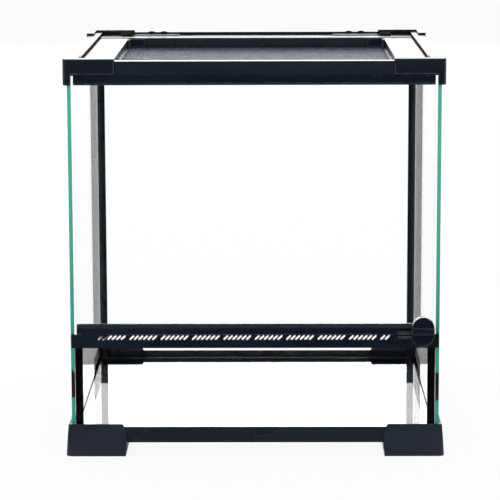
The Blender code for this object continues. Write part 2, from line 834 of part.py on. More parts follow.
def build_lid_sides(parts, cutters, plastic):
    """Left and right rims over the lid's whole depth; each wall clears the ledge."""
    wall_front_y = FRONT_Y + LIP_IN + LEDGE_REACH + GAP
    rim_in = LID_HALF_W - LID_RIM_W
    for side, tag in ((-1, "left"), (1, "right")):
        rim = box(
            "lid_rail_" + tag,
            (min(side * rim_in, side * LID_HALF_W), LID_FRONT_Y, LID_Z),
            (max(side * rim_in, side * LID_HALF_W), LID_REAR_Y, LID_Z + LID_RIM_T),
            parts,
            plastic,
        )
        near = side * (rim_in + GAP)
        far = side * (rim_in + GAP + LID_WALL_T)
        wall = box(
            "lid_wall_" + tag,
            (min(near, far), wall_front_y, LID_Z - LID_WALL_H),
            (max(near, far), LID_REAR_Y - GAP, LID_Z + LID_RIM_T / 2.0),
            cutters,
        )
        combine(rim, wall, "UNION")


def build_lid_ends(parts, plastic):
    """Front rim, and the thin rear rim beside the rear strip."""
    half = LID_HALF_W - LID_RIM_W - GAP
    section = [
        (0.0, LID_Z),
        (LID_RIM_W - LID_WALL_T, LID_Z),
        (LID_RIM_W - LID_WALL_T, LID_Z - LID_WALL_H),
        (LID_RIM_W, LID_Z - LID_WALL_H),
        (LID_RIM_W, LID_Z + LID_RIM_T),
        (0.0, LID_Z + LID_RIM_T),
    ]
    front = prism("lid_rail_front", [section], 2.0 * half, parts, plastic)
    along_x(front)
    front.location.y = LID_FRONT_Y
    box(
        "lid_rail_rear",
        (-half, LID_REAR_Y - LID_REAR_T, LID_Z - LID_WALL_H),
        (half, LID_REAR_Y, LID_Z + LID_RIM_T),
        parts,
        plastic,
    )


def build_lid_clips(parts, plastic):
    """L-shaped clips inside the lid's four corners."""
    x = LID_HALF_W - LID_RIM_W - GAP
    ends = (
        ("front", LID_FRONT_Y + LID_RIM_W + GAP, 1),
        ("rear", LID_REAR_Y - LID_REAR_T - GAP, -1),
    )
    low = LID_Z - LID_WALL_H
    high = LID_Z + LID_RIM_T - LID_CLIP_DROP
    for tag, y, inward in ends:
        for side, hand in ((-1, "left"), (1, "right")):
            outline = [
                (0.0, 0.0),
                (-side * LID_CLIP_L, 0.0),
                (-side * LID_CLIP_L, inward * LID_CLIP_T),
                (-side * LID_CLIP_T, inward * LID_CLIP_T),
                (-side * LID_CLIP_T, inward * LID_CLIP_L),
                (0.0, inward * LID_CLIP_L),
            ]
            name = "lid_clip_" + tag + "_" + hand
            clip = prism(name, [outline], high - low, parts, plastic)
            clip.location = (side * x, y, (low + high) / 2.0)


def build_screen(parts, metal):
    """Flat metal screen with a grid of openings."""
    half = LID_HALF_W - LID_RIM_W + LID_WALL_T - GAP
    low_y = LID_FRONT_Y + LID_RIM_W - LID_WALL_T + GAP
    high_y = LID_REAR_Y - GAP
    middle = (low_y + high_y) / 2.0
    half_y = (high_y - low_y) / 2.0
    step_x = 2.0 * (half - SCREEN_EDGE) / SCREEN_CELLS
    step_y = 2.0 * (half_y - SCREEN_EDGE) / SCREEN_CELLS
    outlines = [rectangle(-half, -half_y, half, half_y)]
    for row in range(SCREEN_CELLS):
        for column in range(SCREEN_CELLS):
            x = -half + SCREEN_EDGE + column * step_x
            y = -half_y + SCREEN_EDGE + row * step_y
            outlines.append(
                rectangle(
                    x + SCREEN_BAR / 2.0,
                    y + SCREEN_BAR / 2.0,
                    x + step_x - SCREEN_BAR / 2.0,
                    y + step_y - SCREEN_BAR / 2.0,
                )
            )
    screen = prism("mesh_screen", outlines, SCREEN_T, parts, metal)
    screen.location = (0.0, middle, LID_Z - LID_WALL_H - GAP - SCREEN_T / 2.0)


# Vent strip

def build_vent_strip(parts, cutters, plastic):
    """Slotted fascia that grips the front pane's top edge."""
    back_face = VENT_FRONT_Y + VENT_WALL_T
    pane_back = FRONT_Y + GLASS_T
    half = TANK_W / 2.0 - VENT_END_INSET
    strip = box(
        "vent_strip",
        (-half, VENT_FRONT_Y, VENT_Z),
        (half, back_face, VENT_TOP),
        parts,
        plastic,
    )
    inner = TANK_W / 2.0 - GLASS_T - GAP
    web_z = FRONT_PANE_TOP + GAP
    channel = [
        (back_face - GAP, web_z),
        (pane_back + GAP, web_z),
        (pane_back + GAP, VENT_Z),
        (pane_back + GAP + VENT_BACK_T, VENT_Z),
        (pane_back + GAP + VENT_BACK_T, VENT_WEB_Z),
        (back_face - GAP, VENT_WEB_Z),
    ]
    clip = prism("vent_channel", [channel], 2.0 * inner, cutters)
    along_x(clip)
    boss = box(
        "pin_boss_bottom",
        (PIN_X - PIN_BOSS_HALF, back_face - GAP, VENT_WEB_Z - GAP),
        (PIN_X + PIN_BOSS_HALF, pane_back + GAP + VENT_BACK_T, VENT_TOP),
        cutters,
    )
    bore = cylinder("pin_bore_bottom", PIN_R + GAP, 2.0 * (PIN_REACH + GAP), cutters)
    bore.location = (PIN_X, PIN_Y, VENT_TOP)
    combine(strip, clip, "UNION")
    combine(strip, boss, "UNION")
    combine(strip, bore, "DIFFERENCE")
    combine(strip, slot_cutter(cutters), "DIFFERENCE")


def slot_cutter(cutters):
    """Groups of slanted slots."""
    outlines = []
    field = (SLOT_GROUPS - 1) * SLOT_GROUP_PITCH + (SLOTS_PER_GROUP - 1) * SLOT_PITCH
    first = SLOT_FIELD_SHIFT - field / 2.0
    z = VENT_WEB_Z + SLOT_ABOVE_WEB
    for group in range(SLOT_GROUPS):
        by_lock = group == SLOT_GROUPS - 1
        for index in range(SLOTS_BY_LOCK if by_lock else SLOTS_PER_GROUP):
            x = first + group * SLOT_GROUP_PITCH + index * SLOT_PITCH
            outlines.append(stadium(x, z, SLOT_RUN, SLOT_RISE, SLOT_W, 3))
    slots = prism("vent_slots", outlines, 2.0 * VENT_WALL_T, cutters)
    along_y(slots, VENT_FRONT_Y + VENT_WALL_T / 2.0)
    return slots


# Door

def door_section(low, high, glass_up):
    """U-shaped door profile section in (Y, Z), open towards the glass."""
    front = VENT_FRONT_Y
    back = DOOR_BACK_Y
    slot_front = FRONT_Y - GAP
    slot_back = FRONT_Y + GLASS_T + GAP
    height = high - low
    outline = [
        (front, 0.0),
        (back, 0.0),
        (back, height),
        (slot_back, height),
        (slot_back, DOOR_GROOVE_FLOOR),
        (slot_front, DOOR_GROOVE_FLOOR),
        (slot_front, height),
        (front, height - DOOR_CHAMFER),
    ]
    if glass_up:
        return [(y, low + z) for y, z in outline]
    return [(y, high - z) for y, z in outline]


def build_door_profile(name, low, high, glass_up, parts, cutters, plastic):
    """One profile with solid end blocks and bores for pin and lock."""
    profile = prism(
        name, [door_section(low, high, glass_up)], 2.0 * DOOR_HALF_W, parts, plastic
    )
    along_x(profile)
    block_low = low + GAP if glass_up else high - DOOR_GROOVE_FLOOR - DOOR_NOTCH_H + GAP
    block_high = low + DOOR_GROOVE_FLOOR + DOOR_NOTCH_H - GAP if glass_up else high - GAP
    for side in (-1, 1):
        near = side * DOOR_HALF_W
        far = side * (DOOR_HALF_W - DOOR_END_BLOCK)
        block = box(
            name + "_block_" + ("left" if side < 0 else "right"),
            (min(near, far), FRONT_Y - 2.0 * GAP, block_low),
            (max(near, far), FRONT_Y + GLASS_T + 2.0 * GAP, block_high),
            cutters,
        )
        combine(profile, block, "UNION")
    pin_face = low if glass_up else high
    bore = cylinder(name + "_pin_bore", PIN_R + GAP, 2.0 * (PIN_REACH + GAP), cutters)
    bore.location = (PIN_X, PIN_Y, pin_face)
    combine(profile, bore, "DIFFERENCE")
    if glass_up:
        bore_len = 2.0 * (DOOR_BACK_Y - VENT_FRONT_Y + GAP)
        lock_bore = cylinder(name + "_lock_bore", LOCK_SPINDLE_R + GAP, bore_len, cutters)
        lock_bore.rotation_euler.x = math.pi / 2.0
        lock_bore.location = (LOCK_X, VENT_FRONT_Y, LOCK_Z)
        combine(profile, lock_bore, "DIFFERENCE")
    return profile


def build_door(parts, cutters, plastic, glass, metal):
    """Glass door with a profile along its top and bottom, on two pins."""
    low_top = DOOR_Z + DOOR_BOTTOM_H
    build_door_profile(
        "door_profile_bottom", DOOR_Z, low_top, True, parts, cutters, plastic
    )
    build_door_profile(
        "door_profile_top", DOOR_TOP - DOOR_TOP_H, DOOR_TOP, False, parts, cutters, plastic
    )
    low = DOOR_Z + DOOR_GROOVE_FLOOR + GAP
    high = DOOR_TOP - DOOR_GROOVE_FLOOR - GAP
    half = DOOR_HALF_W
    step = DOOR_HALF_W - DOOR_END_BLOCK - GAP
    notch = DOOR_NOTCH_H
    outline = [
        (-step, low),
        (step, low),
        (step, low + notch),
        (half, low + notch),
        (half, high - notch),
        (step, high - notch),
        (step, high),
        (-step, high),
        (-step, high - notch),
        (-half, high - notch),
        (-half, low + notch),
        (-step, low + notch),
    ]
    pane = prism("glass_door", [outline], GLASS_T, parts, glass)
    along_y(pane, FRONT_Y + GLASS_T / 2.0)
    for tag, level in (("bottom", VENT_TOP), ("top", DOOR_TOP)):
        face = level + (DOOR_LOW_CLEAR if tag == "bottom" else GAP) / 2.0
        pin = cylinder("hinge_pin_" + tag, PIN_R, 2.0 * PIN_REACH, parts, metal, 16)
        pin.location = (PIN_X, PIN_Y, face)


# Lock

def build_lock(parts, cutters, plastic):
    """Turn knob, keyhole plate on the door, and a cam behind it."""
    plate_back = VENT_FRONT_Y - GAP
    plate_front = plate_back - LOCK_PLATE_T
    build_lock_plate(plate_back, plate_front, parts, cutters, plastic)
    build_lock_knob(plate_front - LOCK_STANDOFF, parts, cutters, plastic)
    cam_front = DOOR_BACK_Y + GAP
    cam_outline = stadium(-LOCK_CAM_L / 2.0, 0.0, -LOCK_CAM_L, 0.0, LOCK_CAM_W, 8)
    hole = arc(0.0, 0.0, LOCK_TIP_R + GAP, 0.0, 337.5, 15)
    cam = prism("lock_cam", [cam_outline, hole], LOCK_CAM_T, parts, plastic)
    cam.rotation_euler.x = math.pi / 2.0
    cam.location = (LOCK_X, cam_front + LOCK_CAM_T / 2.0, LOCK_Z)


def build_lock_plate(back, front, parts, cutters, plastic):
    """Keyhole-shaped plate: a round head and an arm with two ridges."""
    centre_z = VENT_TOP - GAP
    half = LOCK_ARM_H / 2.0
    open_angle = math.degrees(math.asin(half / LOCK_PLATE_R))
    head = arc(0.0, 0.0, LOCK_PLATE_R, open_angle - 180.0, 180.0 - open_angle, 24)
    tip = arc(-LOCK_ARM_REACH + half, 0.0, half, 90.0, 270.0, 8)
    hole_z = LOCK_Z - centre_z
    hole = arc(0.0, hole_z, LOCK_SPINDLE_R + GAP, 0.0, 337.5, 15)
    plate = prism("lock_plate", [head + tip, hole], back - front, parts, plastic)
    plate.rotation_euler.x = math.pi / 2.0
    plate.location = (LOCK_X, (back + front) / 2.0, centre_z)
    for index in (-0.5, 0.5):
        z = centre_z + index * LOCK_ARM_H * 0.45
        ridge = box(
            "lock_ridge",
            (
                LOCK_X - LOCK_ARM_REACH + half,
                front - LOCK_RIDGE_RISE,
                z - LOCK_RIDGE_H / 2.0,
            ),
            (
                LOCK_X - LOCK_HALF_W - GAP,
                front + LOCK_RIDGE_RISE,
                z + LOCK_RIDGE_H / 2.0,
            ),
            cutters,
        )
        combine(plate, ridge, "UNION")


def build_lock_knob(back, parts, cutters, plastic):
    """Upright oval knob with a rounded finger bar, spindle and cam tip."""
    front = back - LOCK_KNOB_T
    outline = stadium(0.0, 0.0, 0.0, LOCK_STRAIGHT, 2.0 * LOCK_HALF_W, 12)
    knob = prism("lock_knob", [outline], back - front, parts, plastic)
    knob.rotation_euler.x = math.pi / 2.0
    knob.location = (LOCK_X, (back + front) / 2.0, LOCK_Z)
    bevel(knob, LOCK_KNOB_BEVEL, 2, 60.0)
    half = LOCK_BAR_H / 2.0
    swell = [(x * LOCK_BAR_T / half, z) for x, z in arc(0.0, 0.0, half, 90.0, 270.0, 8)]
    bar_outline = [(0.001, half)] + swell + [(0.001, -half)]
    bar = prism("lock_bar", [bar_outline], 2.0 * LOCK_HALF_W, cutters)
    along_x(bar, LOCK_X)
    bar.location.y = front
    bar.location.z = LOCK_Z
    spindle_end = DOOR_BACK_Y
    spindle = cylinder("lock_spindle", LOCK_SPINDLE_R, spindle_end - back + GAP, cutters)
    spindle.rotation_euler.x = math.pi / 2.0
    spindle.location = (LOCK_X, (spindle_end + back - GAP) / 2.0, LOCK_Z)
    tip_end = DOOR_BACK_Y + 2.0 * GAP + LOCK_CAM_T
    tip = cylinder("lock_tip", LOCK_TIP_R, tip_end - spindle_end + GAP, cutters, segments=16)
    tip.rotation_euler.x = math.pi / 2.0
    tip.location = (LOCK_X, (tip_end + spindle_end - GAP) / 2.0, LOCK_Z)
    for tool in (bar, spindle, tip):
        combine(knob, tool, "UNION")


def main():
    """Build the terrarium."""
    clear_scene()
    parts = new_collection("glass_terrarium")
    cutters = new_collection("cutters")
    glass = make_material("clear_glass", (0.86, 0.97, 0.94), 0.02, 0.0, 1.0)
    plastic = make_material("black_plastic", (0.012, 0.014, 0.018), 0.32)
    silicone = make_material("black_silicone", (0.010, 0.010, 0.011), 0.45)
    screen = make_material("screen_metal", (0.10, 0.10, 0.11), 0.45, 1.0)
    steel = make_material("pin_steel", (0.62, 0.62, 0.64), 0.30, 1.0)
    build_panes(parts, glass)
    build_beads(parts, silicone)
    build_base(parts, plastic)
    for corner in CORNERS:
        build_foot(corner, parts, cutters, plastic)
    build_top_rails(parts, cutters, plastic)
    build_rear_strip(parts, cutters, plastic)
    for corner in CORNERS:
        build_cap(corner, parts, cutters, plastic)
    build_closers(parts, cutters, plastic)
    build_buttons(parts, cutters, plastic)
    build_lid(parts, cutters, plastic)
    build_screen(parts, screen)
    build_vent_strip(parts, cutters, plastic)
    build_door(parts, cutters, plastic, glass, steel)
    build_lock(parts, cutters, plastic)


main()
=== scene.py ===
"""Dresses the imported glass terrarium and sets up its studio, camera and lamps.

Metres, +Z up, the door side towards -Y.  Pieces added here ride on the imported
bodies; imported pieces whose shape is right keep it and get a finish.
"""

import logging
import math
from dataclasses import dataclass, field
from enum import Enum
from typing import Dict, List, Sequence, Tuple

import bmesh
import bpy
from mathutils import Matrix, Vector


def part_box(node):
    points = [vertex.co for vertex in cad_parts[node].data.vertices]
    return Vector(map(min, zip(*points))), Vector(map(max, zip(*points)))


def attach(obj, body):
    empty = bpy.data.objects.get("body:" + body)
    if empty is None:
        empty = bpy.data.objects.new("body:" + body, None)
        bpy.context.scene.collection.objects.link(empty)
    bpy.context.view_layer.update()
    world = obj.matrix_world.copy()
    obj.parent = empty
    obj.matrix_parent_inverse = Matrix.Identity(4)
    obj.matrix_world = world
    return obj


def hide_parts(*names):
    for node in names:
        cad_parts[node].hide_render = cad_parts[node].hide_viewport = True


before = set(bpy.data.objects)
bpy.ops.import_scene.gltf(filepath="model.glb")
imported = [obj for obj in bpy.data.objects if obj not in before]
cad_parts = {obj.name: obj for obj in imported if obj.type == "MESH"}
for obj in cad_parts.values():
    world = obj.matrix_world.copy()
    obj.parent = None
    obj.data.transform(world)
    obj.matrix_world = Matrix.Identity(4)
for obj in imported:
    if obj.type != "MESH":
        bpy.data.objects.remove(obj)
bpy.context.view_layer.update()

LOG = logging.getLogger("terrarium")
Colour = Tuple[float, float, float]
Point = Tuple[float, float, float]
Span = Tuple[float, float]
Material = bpy.types.Material


class Axis(Enum):
    """A direction of the object: a pane's thin one, or the one that an edge faces."""

    X = 0
    Y = 1
    Z = 2


# Node helpers

class Tree:
    """A small writer for shader node trees."""

    column_step: float = 180.0
    row_step: float = -40.0
    rows: int = 5
    colour_low: int = 6
    colour_high: int = 7
    colour_mixed: int = 2

    def __init__(self, tree: bpy.types.NodeTree) -> None:
        """Keep the tree that nodes are added to.

        Args:
            tree: node tree of a material, world or group.
        """
        self.tree = tree
        self.column = 0

    def add(self, kind: str, **values: object) -> bpy.types.Node:
        """Add a node and set its properties.

        Args:
            kind: node type name.
            values: property names and values.

        Returns:
            The new node.
        """
        node = self.tree.nodes.new(kind)
        node.location = (self.column_step * self.column, self.row_step * (self.column % self.rows))
        self.column += 1
        for key, value in values.items():
            setattr(node, key, value)
        return node

    def wire(self, source: object, target: object) -> None:
        """Link an output to an input."""
        self.tree.links.new(source, target)

    def feed(self, value: object, slot: object) -> None:
        """Link a socket, or write a number or colour.

        Args:
            value: socket, number or colour.
            slot: input that takes it.
        """
        if isinstance(value, bpy.types.NodeSocket):
            self.wire(value, slot)
        else:
            slot.default_value = value

    def math(
        self, operation: str, first: object, second: object = 0.0, clamp: bool = False
    ) -> object:
        """Add a Math node over two sockets or numbers.

        Args:
            operation: name of the operation.
            first: socket or number.
            second: socket or number.
            clamp: keep the result between 0 and 1.

        Returns:
            The output socket.
        """
        node = self.add("ShaderNodeMath", operation=operation, use_clamp=clamp)
        for slot, value in zip(node.inputs, (first, second)):
            self.feed(value, slot)
        return node.outputs[0]

    def mix(self, factor: object, low: object, high: object) -> object:
        """Mix two colours.

        Args:
            factor: socket or number.
            low: colour or socket at factor 0.
            high: colour or socket at factor 1.

        Returns:
            The colour output.
        """
        node = self.add("ShaderNodeMix", data_type="RGBA")
        self.feed(factor, node.inputs["Factor"])
        for end, socket in ((low, self.colour_low), (high, self.colour_high)):
            linked = isinstance(end, bpy.types.NodeSocket)
            self.feed(end if linked else (*end, 1.0), node.inputs[socket])
        return node.outputs[self.colour_mixed]

    def ramp(self, value: object, given: Span, result: Span = (0.0, 1.0)) -> object:
        """Map one range smoothly to another.

        Args:
            value: socket to map.
            given: input at the start and end.
            result: output at the start and end.

        Returns:
            The output socket.
        """
        node = self.add("ShaderNodeMapRange", interpolation_type="SMOOTHSTEP")
        self.feed(value, node.inputs["Value"])
        node.inputs["From Min"].default_value, node.inputs["From Max"].default_value = given
        node.inputs["To Min"].default_value, node.inputs["To Max"].default_value = result
        return node.outputs["Result"]

    def noise(self, scale: object, detail: float, stretch: Point = (1.0, 1.0, 1.0)) -> object:
        """Noise over object coordinates.

        Args:
            scale: socket or number, in cells per metre.
            detail: octaves.
            stretch: scale of each axis.

        Returns:
            The noise value.
        """
        place = self.add("ShaderNodeTexCoord")
        mapping = self.add("ShaderNodeMapping")
        mapping.inputs["Scale"].default_value = stretch
        node = self.add("ShaderNodeTexNoise")
        node.inputs["Detail"].default_value = detail
        self.wire(place.outputs["Object"], mapping.inputs["Vector"])
        self.wire(mapping.outputs["Vector"], node.inputs["Vector"])
        self.feed(scale, node.inputs["Scale"])
        return node.outputs["Fac"]

    def split(self, kind: str, output: str) -> bpy.types.NodeOutputs:
        """Split a position or direction into its axes.

        Args:
            kind: node type that gives it.
            output: name of that node's output.

        Returns:
            The outputs X, Y and Z.
        """
        node = self.add("ShaderNodeSeparateXYZ")
        self.wire(self.add(kind).outputs[output], node.inputs["Vector"])
        return node.outputs

    def bump(self, height: object, strength: float, depth: float, shader: bpy.types.Node) -> None:
        """Raise a relief on a shader's surface.

        Args:
            height: socket with the relief.
            strength: strength of the Bump node.
            depth: depth of the relief in metres.
            shader: shader whose Normal it feeds.
        """
        node = self.add("ShaderNodeBump")
        node.inputs["Strength"].default_value = strength
        node.inputs["Distance"].default_value = depth
        self.wire(height, node.inputs["Height"])
        self.wire(node.outputs["Normal"], shader.inputs["Normal"])


@dataclass
class ShadeGroups:
    """Shader groups that several finishes share, each built once."""

    flow_stretch: Point = (1.0, 1.0, 2.5)
    wear_and_highlight_bend: Span = (0.02, 0.25)
    wear_and_highlight_patch: Span = (0.25, 0.60)
    bevel_samples: int = 4
    dust_tilt: Span = (0.55, 0.98)
    dust_speck: Span = (0.4, 0.8)
    made: Dict[str, bpy.types.NodeTree] = field(default_factory=dict)

    def start(
        self, name: str, inputs: Sequence[str], outputs: Sequence[str]
    ) -> Tuple[Tree, bpy.types.Node, bpy.types.Node]:
        """Begin a group with float sockets.

        Args:
            name: name of the group.
            inputs: input names.
            outputs: output names.

        Returns:
            The writer and the group's input and output nodes.
        """
        group = bpy.data.node_groups.new(name, "ShaderNodeTree")
        for way, keys in (("INPUT", inputs), ("OUTPUT", outputs)):
            for key in keys:
                group.interface.new_socket(key, in_out=way, socket_type="NodeSocketFloat")
        self.made[name] = group
        tree = Tree(group)
        return tree, tree.add("NodeGroupInput"), tree.add("NodeGroupOutput")

    def build(self) -> None:
        """Build every shared group."""
        self.build_grain()
        self.build_wear_and_highlight()
        self.build_dust()

    def build_grain(self) -> None:
        """Build the fine spark-eroded grain of moulded plastic, with its slow flow marks."""
        tree, given, result = self.start(
            "moulded_grain", ("Scale", "Flow Scale"), ("Height", "Flow")
        )
        grain = tree.noise(given.outputs["Scale"], detail=2.0)
        flow = tree.noise(given.outputs["Flow Scale"], detail=4.0, stretch=self.flow_stretch)
        tree.wire(grain, result.inputs["Height"])
        tree.wire(flow, result.inputs["Flow"])

    def build_wear_and_highlight(self) -> None:
        """Build the mask of outer edges, lightened partly as rubbed wear and partly as a painted
        highlight.
        """
        tree, given, result = self.start("edge_wear_and_highlight", ("Radius", "Break Scale"), ("Mask",))
        bevel = tree.add("ShaderNodeBevel", samples=self.bevel_samples)
        tree.wire(given.outputs["Radius"], bevel.inputs["Radius"])
        geometry = tree.add("ShaderNodeNewGeometry")
        dot = tree.add("ShaderNodeVectorMath", operation="DOT_PRODUCT")
        tree.wire(bevel.outputs["Normal"], dot.inputs[0])
        tree.wire(geometry.outputs["Normal"], dot.inputs[1])
        edge = tree.ramp(tree.math("SUBTRACT", 1.0, dot.outputs["Value"]), self.wear_and_highlight_bend)
        patch = tree.ramp(tree.noise(given.outputs["Break Scale"], detail=4.0), self.wear_and_highlight_patch)
        tree.wire(tree.math("MULTIPLY", edge, patch), result.inputs["Mask"])

    def build_dust(self) -> None:
        """Build the mask of thin dust that settles on upward faces."""
        tree, given, result = self.start("settled_dust", ("Amount", "Scale"), ("Mask",))
        upward = tree.ramp(tree.split("ShaderNodeNewGeometry", "Normal")["Z"], self.dust_tilt)
        speck = tree.ramp(tree.noise(given.outputs["Scale"], detail=5.0), self.dust_speck)
        dusty = tree.math("MULTIPLY", upward, tree.math("MULTIPLY", speck, given.outputs["Amount"]))
        tree.wire(dusty, result.inputs["Mask"])

    def use(self, tree: Tree, name: str, values: Dict[str, float]) -> bpy.types.Node:
        """Place a shared group in a material.

        Args:
            tree: writer of the material.
            name: name of the group.
            values: this material's own values.

        Returns:
            The group node.
        """
        node = tree.add("ShaderNodeGroup", node_tree=self.made[name])
        for key, value in values.items():
            node.inputs[key].default_value = value
        return node


GROUPS = ShadeGroups()


def new_material(name: str) -> Tuple[Material, Tree, bpy.types.Node]:
    """Make a node material with one Principled shader.

    Args:
        name: name of the material.

    Returns:
        The material, a writer for its nodes, and its shader.
    """
    material = bpy.data.materials.new(name)
    material.use_nodes = True
    tree = Tree(material.node_tree)
    return material, tree, material.node_tree.nodes["Principled BSDF"]


def tinted(colour: Colour, factor: float) -> Colour:
    """Darken or lighten a colour.

    Args:
        colour: colour to change.
        factor: number that each channel is multiplied by.

    Returns:
        The new colour.
    """
    red, green, blue = colour
    return (factor * red, factor * green, factor * blue)


# Finishes

@dataclass(frozen=True)
class MouldedPlastic:
    """Black injection-moulded plastic, whose outer edges are lightened partly as wear and partly as
    a painted highlight.
    """

    name: str
    colour: Colour
    roughness: float = 0.28
    smoother: float = 0.04
    rougher: float = 0.06
    gleam: float = 0.5
    grain_scale: float = 1100.0
    grain_depth: float = 0.00002
    grain_strength: float = 0.35
    flow_scale: float = 14.0
    flow_tint: float = 1.45
    flow_tone: Span = (0.35, 0.7)
    flow_gloss: Span = (0.3, 0.75)
    wear_and_highlight: float = 0.18
    wear_and_highlight_reach: float = 0.0006
    wear_and_highlight_scale: float = 90.0
    wear_and_highlight_colour: Colour = (0.060, 0.068, 0.080)
    dust: float = 0.05
    dust_scale: float = 120.0
    dust_colour: Colour = (0.30, 0.31, 0.33)
    wall_matt: float = 0.0
    wall_turn: Span = (0.6, 0.95)

    def build(self) -> Material:
        """Make the material.

        Returns:
            The material.
        """
        material, tree, shader = new_material(self.name)
        grain = GROUPS.use(
            tree, "moulded_grain", {"Scale": self.grain_scale, "Flow Scale": self.flow_scale}
        )
        wear_and_highlight = GROUPS.use(
            tree, "edge_wear_and_highlight", {"Radius": self.wear_and_highlight_reach, "Break Scale": self.wear_and_highlight_scale}
        )
        dust = GROUPS.use(
            tree, "settled_dust", {"Amount": self.dust, "Scale": self.dust_scale}
        )
        flow = tree.ramp(grain.outputs["Flow"], self.flow_tone)
        colour = tree.mix(flow, self.colour, tinted(self.colour, self.flow_tint))
        # painted highlight, partly also rubbed wear: a lighter colour along the outer edges
        worn_and_highlit = tree.math("MULTIPLY", wear_and_highlight.outputs["Mask"], self.wear_and_highlight)
        colour = tree.mix(worn_and_highlit, colour, self.wear_and_highlight_colour)
        colour = tree.mix(dust.outputs["Mask"], colour, self.dust_colour)
        tree.wire(colour, shader.inputs["Base Color"])
        shader.inputs["Specular IOR Level"].default_value = self.gleam
        limits = (self.roughness - self.smoother, self.roughness + self.rougher)
        spread = tree.ramp(grain.outputs["Flow"], self.flow_gloss, limits)
        if self.wall_matt:
            spread = tree.math("ADD", spread, self.side_walls(tree), clamp=True)
        tree.wire(spread, shader.inputs["Roughness"])
        tree.bump(grain.outputs["Height"], self.grain_strength, self.grain_depth, shader)
        return material

    def side_walls(self, tree: Tree) -> object:
        """Extra roughness of the textured walls that face sideways.

        Args:
            tree: writer of the material.

        Returns:
            The socket with the extra roughness.
        """
        sideways = tree.math("ABSOLUTE", tree.split("ShaderNodeTexCoord", "Normal")["X"])
        return tree.ramp(sideways, self.wall_turn, (0.0, self.wall_matt))


@dataclass(frozen=True)
class FloatGlass:
    """Clear float glass whose cut edges show green."""

    name: str
    thin: Axis
    index: float = 1.12
    face_colour: Colour = (0.995, 1.0, 0.998)
    edge_colour: Colour = (0.045, 0.46, 0.34)
    edge_turn: Span = (0.35, 0.8)
    streak_scale: float = 260.0
    streak_patch: Span = (0.3, 0.7)
    streak_tint: float = 0.7
    streak_mix: Span = (0.82, 1.0)
    film_scale: float = 9.0
    film_patch: Span = (0.55, 0.85)
    film_haze: Span = (0.0, 0.012)

    def build(self) -> Material:
        """Make the material.

        Returns:
            The material.
        """
        material, tree, shader = new_material(self.name)
        turn = tree.split("ShaderNodeTexCoord", "Normal")[self.thin.value]
        edge = tree.ramp(tree.math("ABSOLUTE", turn), self.edge_turn, (1.0, 0.0))
        streak = tree.noise(self.streak_scale, detail=3.0)
        streak = tree.ramp(streak, self.streak_patch, self.streak_mix)
        worn = tree.mix(streak, tinted(self.edge_colour, self.streak_tint), self.edge_colour)
        tree.wire(tree.mix(edge, self.face_colour, worn), shader.inputs["Base Color"])
        film = tree.ramp(tree.noise(self.film_scale, detail=5.0), self.film_patch, self.film_haze)
        tree.wire(film, shader.inputs["Roughness"])
        shader.inputs["Transmission Weight"].default_value = 1.0
        shader.inputs["IOR"].default_value = self.index
        return material


@dataclass(frozen=True)
class SeamedEdge:
    """Cut edge of float glass, seamed on a belt: green, with fine drag marks and a painted dark
    reflection of the base in a band low on the edge.
    """

    name: str = "seamed_glass_edge"
    upper: Colour = (0.085, 0.60, 0.44)
    lower: Colour = (0.030, 0.36, 0.27)
    fade: Span = (0.02, 0.30)
    drag_scale: float = 420.0
    drag_stretch: Point = (1.0, 1.0, 0.08)
    drag_depth: float = 0.35
    painted_base_reflection: Colour = (0.006, 0.008, 0.009)
    reflection_middle: float = 0.059
    reflection_half: float = 0.0105
    reflection_soft: float = 0.0012
    ragged_scale: float = 160.0
    ragged: Span = (-0.003, 0.003)
    patch: Span = (0.3, 0.7)
    gloss: Span = (0.28, 0.4)

    def build(self) -> Material:
        """Make the material.

        Returns:
            The material.
        """
        material, tree, shader = new_material(self.name)
        height = tree.split("ShaderNodeTexCoord", "Object")["Z"]
        body = tree.mix(tree.ramp(height, self.fade), self.lower, self.upper)
        drag = tree.noise(self.drag_scale, detail=3.0, stretch=self.drag_stretch)
        drag = tree.ramp(drag, self.patch, (0.0, self.drag_depth))
        body = tree.mix(drag, body, self.lower)
        # painted reflection: a dark band with a ragged border low on the edge, standing for the
        # dark base mirrored in it
        ragged = tree.ramp(tree.noise(self.ragged_scale, detail=3.0), self.patch, self.ragged)
        offset = tree.math("ABSOLUTE", tree.math("SUBTRACT", height, self.reflection_middle))
        border = (self.reflection_half, self.reflection_half + self.reflection_soft)
        reflected = tree.ramp(tree.math("ADD", offset, ragged), border, (1.0, 0.0))
        tree.wire(tree.mix(reflected, body, self.painted_base_reflection), shader.inputs["Base Color"])
        spread = tree.ramp(drag, (0.0, self.drag_depth), self.gloss)
        tree.wire(spread, shader.inputs["Roughness"])
        return material


@dataclass(frozen=True)
class TooledSilicone:
    """Black silicone drawn smooth with a finger."""

    name: str
    colour: Colour
    gleam: float
    roughness: float = 0.34
    smoother: float = 0.05
    rougher: float = 0.1
    drag_scale: float = 60.0
    drag_stretch: Point = (1.0, 1.0, 0.15)
    drag_patch: Span = (0.4, 0.7)
    drag_tint: float = 2.0
    drag_depth: float = 0.0004
    drag_strength: float = 0.4
    lump_scale: float = 240.0
    lump_patch: Span = (0.3, 0.7)

    def build(self) -> Material:
        """Make the material.

        Returns:
            The material.
        """
        material, tree, shader = new_material(self.name)
        drag = tree.noise(self.drag_scale, detail=4.0, stretch=self.drag_stretch)
        pale = tinted(self.colour, self.drag_tint)
        colour = tree.mix(tree.ramp(drag, self.drag_patch), self.colour, pale)
        tree.wire(colour, shader.inputs["Base Color"])
        lump = tree.noise(self.lump_scale, detail=3.0)
        limits = (self.roughness - self.smoother, self.roughness + self.rougher)
        tree.wire(tree.ramp(lump, self.lump_patch, limits), shader.inputs["Roughness"])
        tree.bump(drag, self.drag_strength, self.drag_depth, shader)
        shader.inputs["Specular IOR Level"].default_value = self.gleam
        return material


